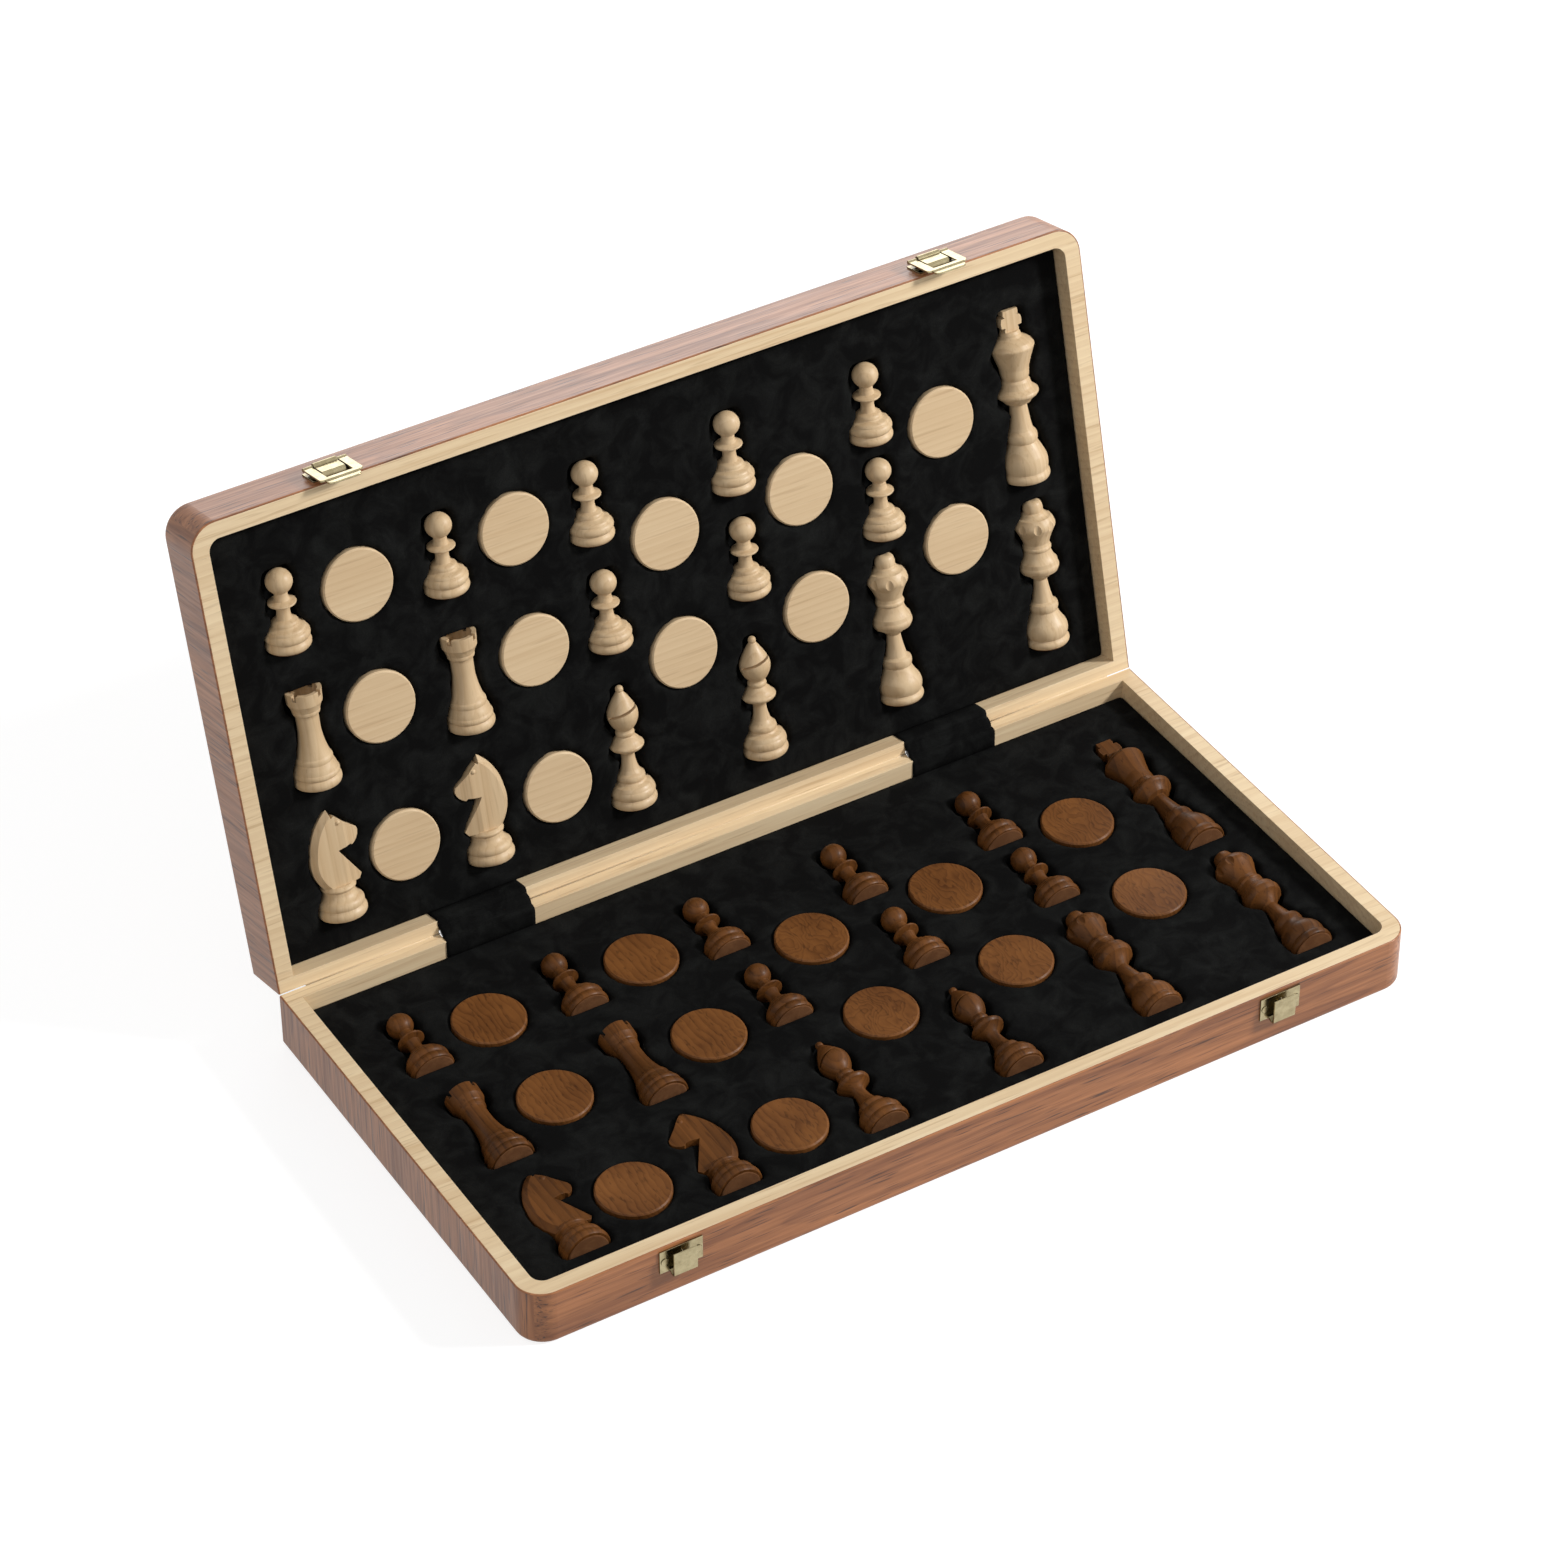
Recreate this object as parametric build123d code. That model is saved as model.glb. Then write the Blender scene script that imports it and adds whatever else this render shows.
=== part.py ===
from build123d import *
import math
import os

# A folding wooden box for chess and draughts, opened to show its two trays. All sizes are in millimetres.
# The lower tray lies on the table: X is its length, Y its width with the latches at -Y and the hinges
# at +Y, and Z is up from its underside, which is half of the playing board.

# The box
board_length = 380.0
half_width = 190.0
half_height = 24.0
wall = 7.0
hinge_wall = 5.1
outer_corner = 11.0
inner_corner = 5.0
bottom_rounding = 2.0
rim_rounding = 0.5
veneer = 0.6
panel = 2.3
steel_sheet = 0.5
foam_depth = 7.8
corner_joint = 2.0
square = 40.0
closed_gap = 0.3
rest_opening = 104.55

# The hinges
hinge_inset = 86.5
hinge_notch = 38.0
hinge_end_gap = 1.0
barrel = 1.7
hinge_pin = 0.75
hinge_leaf = 0.9
knuckle_gap = 0.2
running_gap = 0.05
barrel_relief = 0.3
flap = 0.6
flap_recess = 0.7
hinge_screw_spread = 11.0
hinge_screw_shank = 0.7
hinge_screw_head = 1.15
hinge_screw_length = 7.0

# The latches
latch_inset = 61.0
latch_plate = 0.6
latch_width = 17.6
catch_top = 1.6
catch_height = 10.2
tongue_width = 9.6
tongue_top = 2.0
tongue_bottom = 12.8
tongue_inner = 3.3
tongue_bend = 0.8
nub = 0.8
nub_rise = 0.3
hasp_axis_up = 10.6
hasp_axis_out = 2.5
hasp_bar = 0.8
hasp_sheet = 0.7
loop_side = 3.5
loop_end = 4.4
crossbar = 1.9
lip_step = 0.5
lip_length = 3.2
lip_width = 13.6
lip_corner = 2.4
loop_corner = 1.5
strap_end = 2.6
strap_bend = 0.6
strap_gap = 0.6
hasp_plate_low = 2.4
latch_screw_head = 1.5
latch_screw_shank = 0.8
latch_screw_rise = 0.9
latch_screw_length = 5.0
latch_screw_place = 6.8

# The chess pieces and draughts
base_diameter = 20.0
pawn_height = 32.0
rook_height = 39.3
knight_height = 44.5
bishop_height = 50.5
queen_height = 62.5
king_height = 71.7
knight_thickness = 9.0
cross_width = 9.4
cross_height = 11.4
cross_thickness = 4.2
crenel = 1.7
crenel_depth = 2.2
crown_turn = 35.0
crown_bore = 5.3
crown_hollow = 5.5
flutes = 8
flute = 2.1
flute_depth = 0.6
mitre_slit = 1.0
mitre_slope = 12.0
mitre_lean = 13.0
mitre_place = 0.79
eye = 1.1
eye_sunk = 0.5
eye_forward = 0.28
eye_up = 0.872
throat_up = 0.62
mane_bevel = 2.1
disc_diameter = 28.5
disc_height = 6.0
disc_proud = 1.1
disc_bevel = 0.55
felt = 0.5
felt_share = 0.82
magnet_diameter = 8.0
magnet_height = 3.0
disc_magnet_height = 2.0
base_sunk = 2.6
recess_gap = 0.7

# Where the pieces lie in a tray, as shares of its half length and half width inside the walls
pawn_places = [(-0.853, 0.423), (-0.495, 0.423), (-0.158, 0.423), (0.177, 0.423), (0.512, 0.423)]
pawn_places += [(-0.156, -0.087), (0.177, -0.075), (0.512, -0.030)]
disc_places = [(-0.689, 0.576), (-0.332, 0.576), (0.001, 0.315), (0.323, 0.298), (0.677, 0.374)]
disc_places += [(-0.689, 0.009), (-0.332, 0.009), (0.001, -0.249), (0.323, -0.265), (0.677, -0.191)]
disc_places += [(-0.690, -0.647), (-0.332, -0.647)]
single_places = {
    "rook_1": (-0.846, -0.229),
    "rook_2": (-0.494, -0.229),
    "knight_1": (-0.846, -0.852),
    "knight_2": (-0.503, -0.852),
    "bishop_1": (-0.160, -0.854),
    "bishop_2": (0.160, -0.854),
    "queen_1": (0.501, -0.846),
    "queen_2": (0.874, -0.846),
    "king": (0.874, -0.030),
}

# How far each kind's head is raised as it lies, in degrees
tilts = {"pawn": 5.7, "rook": 3.4, "knight": 0.0, "bishop": 3.4, "queen": 1.5, "king": 0.7}

# How far each kind has slid towards the hinges in the raised lid
no_slide = {"pawn": 0, "rook": 0, "knight": 0, "bishop": 0, "queen": 0, "king": 0, "draught": 0}
lid_slide = {"pawn": 3.7, "rook": 2.6, "knight": 3.0, "bishop": 2.5, "queen": 2.3, "king": 2.6,
             "draught": 1.8}

# Turned outlines, from the base up: height in hundredths of the piece's height, radius in hundredths of
# the base's radius and, where the line bows outwards or inwards, how far in hundredths of that radius
outlines = {
    "pawn": [(0, 84.6), (8.5, 85.6, 5), (11, 81.8), (22, 78.1, 9), (26, 70.7, 2), (28, 56.7),
             (29.5, 52.1), (34, 46, 2), (36.5, 31.3), (45, 25.8, -1), (53.5, 30.4, -1), (55.5, 50.1),
             (58.5, 50.1, 4.5), (61, 31), (66, 26), (71, 26), (84.4, 51.5, 6.4), (100, 5, 12.9)],
    "rook": [(0, 89.2), (8, 89.2, 5), (9.3, 85.3), (15, 84.3, 5), (21, 76, 1), (24, 71), (28.5, 70, 1.5),
             (30, 65), (58, 44, -4), (70, 44), (74.5, 47, -1), (75.5, 52), (79.5, 53, 1), (80.5, 56),
             (87, 67.5, -1), (100, 70.3)],
    "knight": [(0, 91), (7.5, 91, 6), (9, 88), (16.5, 78, 7), (21, 63, -2), (24, 61), (25, 67),
               (28, 67, 3), (29.5, 60)],
    "bishop": [(0, 86.5), (6, 87.4, 6), (7.3, 84.5), (14, 83.6, 6), (17, 75, 1), (18.5, 58.9),
               (20, 54.1), (24.5, 54.1, 3), (26.5, 43), (29, 36), (40, 26, -2), (43, 30, -1),
               (47.5, 62.3, -2), (48.5, 66), (51, 66, 2.5), (54, 52, -1), (56.5, 40), (58, 33),
               (62, 34, 4), (63.5, 33), (75, 60.8, 5.5), (80, 57.9, 1), (94, 18, 2), (95.5, 13),
               (97.5, 15, 1.5), (100, 4, 3.5)],
    "queen": [(0, 84.6), (4.5, 84.6, 6), (5.5, 81.8), (15, 80.9, 8), (17.5, 70.7), (22.5, 55.8, -1),
              (23, 54.9), (28.5, 57.2, 4), (30, 43.6), (45, 27, -2), (47, 40), (51, 73.3, -2),
              (52.5, 78), (56, 78, 3), (58.5, 75.2), (64.5, 56, -3), (66, 54), (69, 54, 4), (71, 52),
              (81, 79, -2), (85, 82, 3), (89, 68, 1), (91.5, 46, -3), (92.5, 39), (97, 38, 2),
              (100, 8, 8)],
    "king": [(0, 89.3), (4.2, 91.2, 5), (5.2, 88.4), (14, 86.5, 5), (18, 73.3), (21, 62), (22, 58.3),
             (27, 59.2, 4), (29, 49), (31, 45), (44.5, 34, -1), (45.5, 52), (49.5, 80.6, -2),
             (50.3, 84.5), (52.3, 84.5, 2.5), (54.5, 65.3), (58, 58, -1), (59.5, 52), (62.5, 58, 1),
             (66, 60), (77.5, 88.3, -1), (79, 90.2, 1), (81, 80.5), (84, 48, 1), (85, 42), (86.5, 40, 1),
             (87.5, 35)],
}

# Where the deep well under a base ends, as a share of the piece's height
well_ends = {"pawn": 0.31, "rook": 0.34, "knight": 0.3, "bishop": 0.25, "queen": 0.3, "king": 0.27}

# Recess outlines: the same two measures at the places where the cut in the foam turns
recesses = {
    "pawn": [(0, 92), (21, 92), (31, 60), (43, 46), (50, 62), (62, 62), (67, 48), (74, 62), (94, 58),
             (100, 42)],
    "rook": [(0, 97), (20, 93), (34, 66), (58, 49), (72, 49), (80, 78), (100, 78)],
    "knight": [(0, 97), (14, 97), (23, 70), (29, 70)],
    "bishop": [(0, 94), (14, 94), (24, 62), (38, 34), (46, 76), (52, 76), (58, 46), (63, 50), (70, 73),
               (80, 70), (92, 32), (100, 24)],
    "queen": [(0, 92), (14, 92), (28, 66), (43, 36), (51, 88), (58, 88), (66, 62), (71, 62), (79, 89),
              (86, 88), (91, 56), (100, 44)],
    "king": [(0, 96), (13, 96), (26, 70), (41, 42), (48, 93), (53, 93), (58, 64), (63, 64), (74, 99),
             (78, 96), (85, 58), (88, 55), (97, 55), (100, 40)],
}
heights = {
    "pawn": pawn_height,
    "rook": rook_height,
    "knight": knight_height,
    "bishop": bishop_height,
    "queen": queen_height,
    "king": king_height,
}

# Values worked out from those above
base_radius = base_diameter / 2
half_length = board_length / 2
hinge_place = half_length - hinge_inset
latch_place = half_length - latch_inset
hinge_y = half_width / 2 + closed_gap / 2
hinge_z = half_height + closed_gap / 2
foam_top = half_height - foam_depth
foam_bottom = panel + steel_sheet
front = -half_width / 2
back = half_width / 2
inside_back = back - hinge_wall
inside_front = front + wall
inside_half_length = half_length - wall
inside_half_width = half_width / 2 - wall
leaf_bottom = hinge_z - barrel
leaf_top = leaf_bottom + hinge_leaf
screw_line = (inside_back + flap_recess + hinge_y - barrel - barrel_relief) / 2
catch_screw_height = half_height - catch_top - catch_height / 2
hasp_screw_height = half_height - (hasp_axis_up + hasp_plate_low) / 2
disc_floor = foam_top + disc_proud - disc_height
on_foot = (Align.CENTER, Align.CENTER, Align.MIN)
across_hinge = Pos(0, 2 * hinge_y, 0)
swing = Pos(0, hinge_y, hinge_z) * Rot(X=180 - rest_opening) * Pos(0, -hinge_y, -hinge_z)
lid_contents = swing * across_hinge
lid_frame = swing * across_hinge * Rot(Z=180)


def block(x_low, x_high, y_low, y_high, z_low, z_high):
    """A box between two corners"""
    size = (x_high - x_low, y_high - y_low, z_high - z_low)
    centre = ((x_low + x_high) / 2, (y_low + y_high) / 2, (z_low + z_high) / 2)
    return Pos(*centre) * Box(*size)


def rod(radius, length, place, turn=Rot()):
    """A round bar that starts at a place and runs along Z, or as turned"""
    return Pos(*place) * turn * Cylinder(radius, length, align=on_foot)


def prism(points, depth, plane):
    """A closed outline of points, pushed both ways out of its plane"""
    return extrude(plane * make_face(Polyline(*points, close=True)), amount=depth / 2, both=True)


# The frame of one half, as the lower tray has it


def half_outline(inset, corner):
    """The half's outline from above, square at the hinges and rounded at the front, set in on three sides"""
    flat = Pos(0, inset / 2) * Rectangle(board_length - 2 * inset, half_width - inset)
    return fillet(flat.vertices().group_by(Axis.Y)[0], corner)


def half_form():
    """The whole outside of a half, with its edges rounded but square at the hinges"""
    form = extrude(half_outline(0, outer_corner), half_height)
    for level, rounding in ((0, bottom_rounding), (half_height, rim_rounding)):
        edges = [edge for edge in form.edges() if abs(edge.center().Z - level) < rim_rounding / 2]
        form = fillet([edge for edge in edges if edge.center().Y < back - outer_corner], rounding)
    return form


def cavity():
    """The space inside the walls, over the panel"""
    width = inside_back - inside_front
    flat = Pos(0, (inside_back + inside_front) / 2) * Rectangle(2 * inside_half_length, width)
    flat = fillet(flat.vertices().group_by(Axis.Y)[0], inner_corner)
    return Pos(0, 0, panel) * extrude(flat, half_height)


def layer(low, high, y_low=None, y_high=None):
    """A slab that spans the half between two heights, or only a stretch of its width"""
    y_low = front if y_low is None else y_low
    y_high = back if y_high is None else y_high
    return block(-half_length, half_length, y_low, y_high, low, high)


def hinge_cuts():
    """What the hinges and their flannel take out of the walls at the back"""
    cuts = []
    above = half_height + closed_gap
    for x in (-hinge_place, hinge_place):
        low, high = x - hinge_notch / 2, x + hinge_notch / 2
        cuts.append(block(low, high, inside_back, back, leaf_bottom, above))
        cuts.append(block(low, high, inside_back, inside_back + flap_recess, foam_top, above))
        cuts.append(rod(barrel + barrel_relief, hinge_notch, (low, hinge_y, hinge_z), Rot(Y=90)))
        for spread in (-hinge_screw_spread, hinge_screw_spread):
            foot = (x + spread, screw_line, leaf_bottom - hinge_screw_length)
            cuts.append(rod(hinge_screw_shank, hinge_screw_length, foot))
    return cuts


def latch_cuts(height):
    """The holes of the latch screws, at the height of this half's plates"""
    return [screw for x in (-latch_place, latch_place) for screw in latch_screws(x, height)]


def frame_parts(screw_height):
    """The walls, veneer, panel and steel sheet of one half, by name"""
    form = half_form()
    core = Pos(0, 0, veneer) * extrude(half_outline(veneer, outer_corner - veneer), half_height) & form
    cuts = hinge_cuts() + latch_cuts(screw_height)
    ring = core - cavity() - layer(0, panel) - cuts
    joint = front + outer_corner + corner_joint
    field = block(-4 * square, 4 * square, back - 4 * square, back, 0, veneer)
    return {
        "front_rail": ring & layer(0, half_height, front, joint),
        "side_rails": ring & layer(0, half_height, joint, inside_back),
        "hinge_rail": ring & layer(0, half_height, inside_back, back),
        "veneer": form - core - cuts - field,
        "panel": core & layer(0, panel),
        "steel_sheet": cavity() & layer(panel, foam_bottom),
    }


def board_squares(half):
    """The inlaid squares under one half, 0 or 1, as a list of the dark and a list of the light ones"""
    colours = ([], [])
    for row in range(4):
        low = back - (row + 1) * square
        for column in range(8):
            x = (column - 4) * square
            tile = block(x, x + square, low, low + square, 0, veneer)
            colours[(row + column + half) % 2].append(tile)
    return colours


# The hinges


def hinge_leaf_solid(x, knuckles, side):
    """One leaf with its knuckles, lying flat: side is -1 for the tray's leaf and 1 for the lid's"""
    half = hinge_notch / 2 - hinge_end_gap
    pitch = 2 * half / 5
    far = hinge_y + side * (hinge_y - inside_back - flap_recess)
    near = hinge_y + side * (barrel + barrel_relief)
    leaf = block(x - half, x + half, min(near, far), max(near, far), leaf_bottom, leaf_top)
    for index in knuckles:
        low = x - half + index * pitch + knuckle_gap / 2
        high = low + pitch - knuckle_gap
        leaf += block(low, high, min(hinge_y, far), max(hinge_y, far), leaf_bottom, leaf_top)
        leaf += rod(barrel, high - low, (low, hinge_y, hinge_z), Rot(Y=90))
    bore = hinge_pin if side < 0 else hinge_pin + running_gap
    return leaf - rod(bore, 2 * half, (x - half, hinge_y, hinge_z), Rot(Y=90)) - hinge_screws(x, side)


def hinge_screws(x, side):
    """The two countersunk screws of one leaf"""
    y = hinge_y + side * (hinge_y - screw_line)
    screws = []
    for spread in (-hinge_screw_spread, hinge_screw_spread):
        foot = (x + spread, y, leaf_bottom - hinge_screw_length)
        head = Cone(hinge_screw_shank, hinge_screw_head, hinge_leaf, align=on_foot)
        shank = rod(hinge_screw_shank, hinge_screw_length, foot)
        screws.append(shank + Pos(x + spread, y, leaf_bottom) * head)
    return screws


def hinge_pin_solid(x):
    """The pin that both leaves turn on"""
    half = hinge_notch / 2 - hinge_end_gap
    return rod(hinge_pin, 2 * half, (x - half, hinge_y, hinge_z), Rot(Y=90))


def hinge_flap(x):
    """The flannel that climbs the wall from the foam and covers a leaf"""
    low, high = x - hinge_notch / 2, x + hinge_notch / 2
    climb = block(low, high, inside_back, inside_back + flap_recess, foam_top, leaf_top)
    return climb + block(low, high, inside_back, hinge_y - barrel - barrel_relief, leaf_top, leaf_top + flap)


# The latches, on the front wall


def on_front(section, width, x):
    """A bent sheet across the front, its section given by distances down from the rim and out of the wall"""
    return Pos(x, 0, 0) * prism([(front - out, half_height - down) for down, out in section], width, Plane.YZ)


def latch_screws(x, height):
    """Two screws with low heads, beside the catch's tongue or under the loop's sides"""
    screws = []
    for side in (x - latch_screw_place, x + latch_screw_place):
        foot = (side, front + latch_screw_length, height)
        shank = rod(latch_screw_shank, latch_screw_length, foot, Rot(X=90))
        screws.append(shank + rod(latch_screw_head, latch_screw_rise, (side, front, height), Rot(X=90)))
    return screws


def catch(x):
    """A screwed plate with a tongue that stands off it, closed below and open above"""
    low = catch_top + catch_height
    outer = tongue_inner + latch_plate
    plate = on_front([(catch_top, 0), (low, 0), (low, latch_plate), (catch_top, latch_plate)], latch_width, x)
    section = [(low - latch_plate, 0), (low, 0), (tongue_bottom, latch_plate + tongue_bend),
               (tongue_bottom, outer - tongue_bend), (tongue_bottom - tongue_bend, outer),
               (tongue_top, outer), (tongue_top, tongue_inner), (tongue_bottom - tongue_bend, tongue_inner),
               (tongue_bottom - latch_plate, tongue_inner - tongue_bend), (low - latch_plate, latch_plate)]
    middle = (x, front - latch_plate + nub - nub_rise, half_height - (tongue_top + catch_height / 4))
    bump = Pos(*middle) * Sphere(nub)
    bump &= block(x - nub, x + nub, front - latch_plate - nub_rise, front - latch_plate, 0, half_height)
    return plate + on_front(section, tongue_width, x) + bump - latch_screws(x, catch_screw_height)


def hasp_plate(x):
    """The lid's plate, whose strap is rolled round the loop's bar and lies in its window"""
    inner = hasp_bar + running_gap
    outer = inner + latch_plate
    low = hasp_axis_out - hasp_sheet / 2
    high = hasp_axis_out + hasp_sheet / 2
    top = hasp_axis_up + outer
    width = latch_width - 2 * loop_side - 2 * strap_gap
    axis = (x - width / 2, front - hasp_axis_out, half_height - hasp_axis_up)
    section = [(hasp_plate_low, 0), (top, 0), (top, latch_plate), (hasp_plate_low, latch_plate)]
    plate = on_front(section, latch_width, x)
    foot = [(hasp_axis_up, 0), (top, 0), (top, hasp_axis_out), (hasp_axis_up, hasp_axis_out)]
    plate += on_front(foot, width, x)
    plate += rod(outer, width, axis, Rot(Y=90))
    plate += on_front([(strap_end, 0), (strap_end, high - strap_bend), (strap_end + strap_bend, high),
                       (hasp_axis_up, high), (hasp_axis_up, low), (strap_end + strap_bend, low),
                       (strap_end + hasp_sheet, low - strap_bend / 2), (strap_end + hasp_sheet, 0)], width, x)
    return plate - rod(inner, width, axis, Rot(Y=90)) - latch_screws(x, hasp_screw_height)


def hasp_loop(x):
    """The swinging frame: a round bar, two sides, a crossbar and a lip stepped in towards the wall"""
    half = latch_width / 2
    low = hasp_axis_out - hasp_sheet / 2
    high = hasp_axis_out + hasp_sheet / 2
    section = [(hasp_axis_up, low), (hasp_axis_up, high), (-loop_end, high), (-loop_end, low)]
    sheet = on_front(section, latch_width, x)
    ends = [edge for edge in sheet.edges().filter_by(Axis.Y) if edge.center().Z > half_height]
    sheet = fillet(ends, loop_corner)
    window = half - loop_side
    sheet -= block(x - window, x + window, front - high, front - low,
                   half_height - hasp_axis_up, half_height + loop_end - crossbar)
    axis = (x - half, front - hasp_axis_out, half_height - hasp_axis_up)
    sheet += rod(hasp_bar, latch_width, axis, Rot(Y=90))
    lip = [(-loop_end + lip_step, high), (-loop_end, high), (-loop_end - lip_step, high - lip_step),
           (-loop_end - lip_length, high - lip_step), (-loop_end - lip_length, low - lip_step),
           (-loop_end, low - lip_step), (-loop_end + lip_step, low)]
    lip_sheet = on_front(lip, lip_width, x)
    top = half_height + loop_end + lip_length
    ends = [edge for edge in lip_sheet.edges().filter_by(Axis.Y) if abs(edge.center().Z - top) < rim_rounding]
    return sheet + fillet(ends, lip_corner)


# The chess pieces and draughts, each standing on its base at the origin


def turned(kind):
    """A piece's turned shape, over the felt"""
    rise = (heights[kind] - felt) / 100
    girth = base_radius / 100
    steps = [(radius * girth, felt + height * rise, *[value * girth for value in bow])
             for height, radius, *bow in outlines[kind]]
    edges = [Line((0, felt), steps[0][:2])]
    for (r0, h0, *_), (r1, h1, *bow) in zip(steps, steps[1:]):
        edges.append(SagittaArc((r0, h0), (r1, h1), -bow[0]) if bow else Line((r0, h0), (r1, h1)))
    edges.append(Polyline(steps[-1][:2], (0, steps[-1][1]), (0, felt)))
    return revolve(Plane.XZ * make_face(edges), Axis.Z)


def rook_crown():
    """The hollow of the rook's crown and the notches across its wall"""
    bowl = Pos(0, 0, rook_height - crown_hollow) * Cylinder(crown_bore, crown_hollow, align=on_foot)
    cuts = [bowl]
    for turn in (crown_turn, crown_turn + 90):
        cuts.append(Rot(Z=turn) * block(-base_radius, base_radius, -crenel / 2, crenel / 2,
                                        rook_height - crenel_depth, rook_height))
    return cuts


def queen_flutes():
    """Upright flutes round the queen's coronet"""
    widest = max(radius for height, radius, *bow in outlines["queen"] if height > 75) / 100
    place = (widest * base_radius - flute_depth + flute, 0, 0.7 * queen_height)
    groove = Pos(*place) * Cylinder(flute, 0.3 * queen_height, align=on_foot)
    return [Rot(Z=(index + 0.5) * 360 / flutes) * groove for index in range(flutes)]


def mitre():
    """The slit across the bishop's head, from one side to the middle"""
    slot = block(-base_radius, base_radius, -base_radius, 0, -mitre_slit / 2, mitre_slit / 2)
    return Pos(0, 0, mitre_place * bishop_height) * Rot(Y=-mitre_lean) * Rot(X=-mitre_slope) * slot


def cross():
    """The king's cross, a flat plate with waisted arms"""
    shares = [(0.6, 0), (0.68, 0.3), (0.58, 0.38), (0.96, 0.4), (1, 0.58), (0.92, 0.73), (0.56, 0.76),
              (0.72, 0.82), (0.7, 1)]
    low = king_height - cross_height
    side = [(share * cross_width / 2, low + up * cross_height) for share, up in shares]
    return prism(side + [(-x, z) for x, z in reversed(side)], cross_thickness, Plane.XZ)


def knight_line(points, arcs=False):
    """A line by points in hundredths of the base's radius forwards and of the height up"""
    places = [(forward * base_radius / 100, up * knight_height / 100) for forward, up in points]
    return ThreePointArc(*places) if arcs else Polyline(*places)


def knight_mane():
    """The line of the mane, from the collar to the ear"""
    low = [(-62, 29), (-97, 46), (-95, 63)]
    high = [(-95, 63), (-62, 85), (-3, 100)]
    return [knight_line(low, arcs=True), knight_line(high, arcs=True)]


def knight_outline():
    """The carved horse's head and neck from the side, as a face with +X forwards and +Y up"""
    face = [(-3, 100), (3, 92.5), (14, 94), (30, 91), (58, 84.5), (93, 78), (104, 76), (108, 73), (104, 69),
            (96, 66), (86, 64), (73, 62.5), (64, 64), (11, 62), (94, 33), (82, 29), (-62, 29)]
    return make_face(knight_mane() + [knight_line(face)])


def knight_head():
    """The head and neck cut from a board, bevelled along the mane and thinner at the chest and the muzzle"""
    girth = base_radius / 100
    throat = throat_up * knight_height
    half = knight_thickness / 2
    head = extrude(Plane.XZ * knight_outline(), amount=half, both=True)
    beyond = make_face(knight_mane() + [knight_line([(-3, 100), (150, 138), (150, 0), (-20, 0), (-62, 29)])])
    middle = extrude(Plane.XZ * beyond, amount=half - mane_bevel, both=True)
    bevel = extrude(Plane.XZ.offset(half - mane_bevel) * beyond, amount=mane_bevel, taper=45)
    head &= middle + bevel + mirror(bevel, about=Plane.XZ)
    neck = [(-100, 1), (26, 1), (94, 0.5)]
    muzzle = [(-100, 1), (45, 1), (110, 0.52)]
    wholes = []
    for shares, low, high in ((neck, 0, throat), (muzzle, throat, knight_height)):
        side = [(forward * girth, share * half) for forward, share in shares]
        plan = make_face(Polyline(*side, *[(x, -y) for x, y in reversed(side)], close=True))
        wholes.append(head & Pos(0, 0, low) * extrude(plan, high - low))
    return wholes[0] + wholes[1]


def knight_eyes():
    """Two low round eyes"""
    place = (eye_forward * base_radius, eye_up * knight_height)
    across = knight_thickness / 2 - eye_sunk
    return [Pos(place[0], side * across, place[1]) * Sphere(eye) for side in (-1, 1)]


def piece(kind):
    """A whole chess piece with the hole for its magnet"""
    solid = turned(kind)
    if kind == "rook":
        solid -= rook_crown()
    if kind == "bishop":
        solid -= mitre()
    if kind == "queen":
        solid -= queen_flutes()
    if kind == "king":
        solid += cross()
    if kind == "knight":
        solid = solid + knight_head() + knight_eyes()
    return solid - magnet(felt, magnet_height)


def magnet(low, height):
    """A magnet let into a base"""
    return Pos(0, 0, low) * Cylinder(magnet_diameter / 2, height, align=on_foot)


def felt_pad():
    """The felt under a base"""
    return Cylinder(felt_share * base_radius, felt, align=on_foot)


def draught():
    """A flat disc with bevelled edges and the hole for its magnet"""
    disc = Cylinder(disc_diameter / 2, disc_height, align=on_foot)
    disc = chamfer(disc.edges().filter_by(GeomType.CIRCLE), disc_bevel)
    return disc - magnet(0, disc_magnet_height)


# Where they lie


def lying(kind):
    """How a piece of a kind lies, over the place of its base's lower edge"""
    back_step = base_sunk * math.tan(math.radians(tilts[kind]))
    return Pos(0, back_step, foam_top - base_sunk) * Rot(X=tilts[kind] - 90)


def at_place(shares, slide):
    """A place in the lower tray, less what the piece has slid"""
    return Pos(shares[0] * inside_half_length, shares[1] * inside_half_width - slide, 0)


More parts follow.
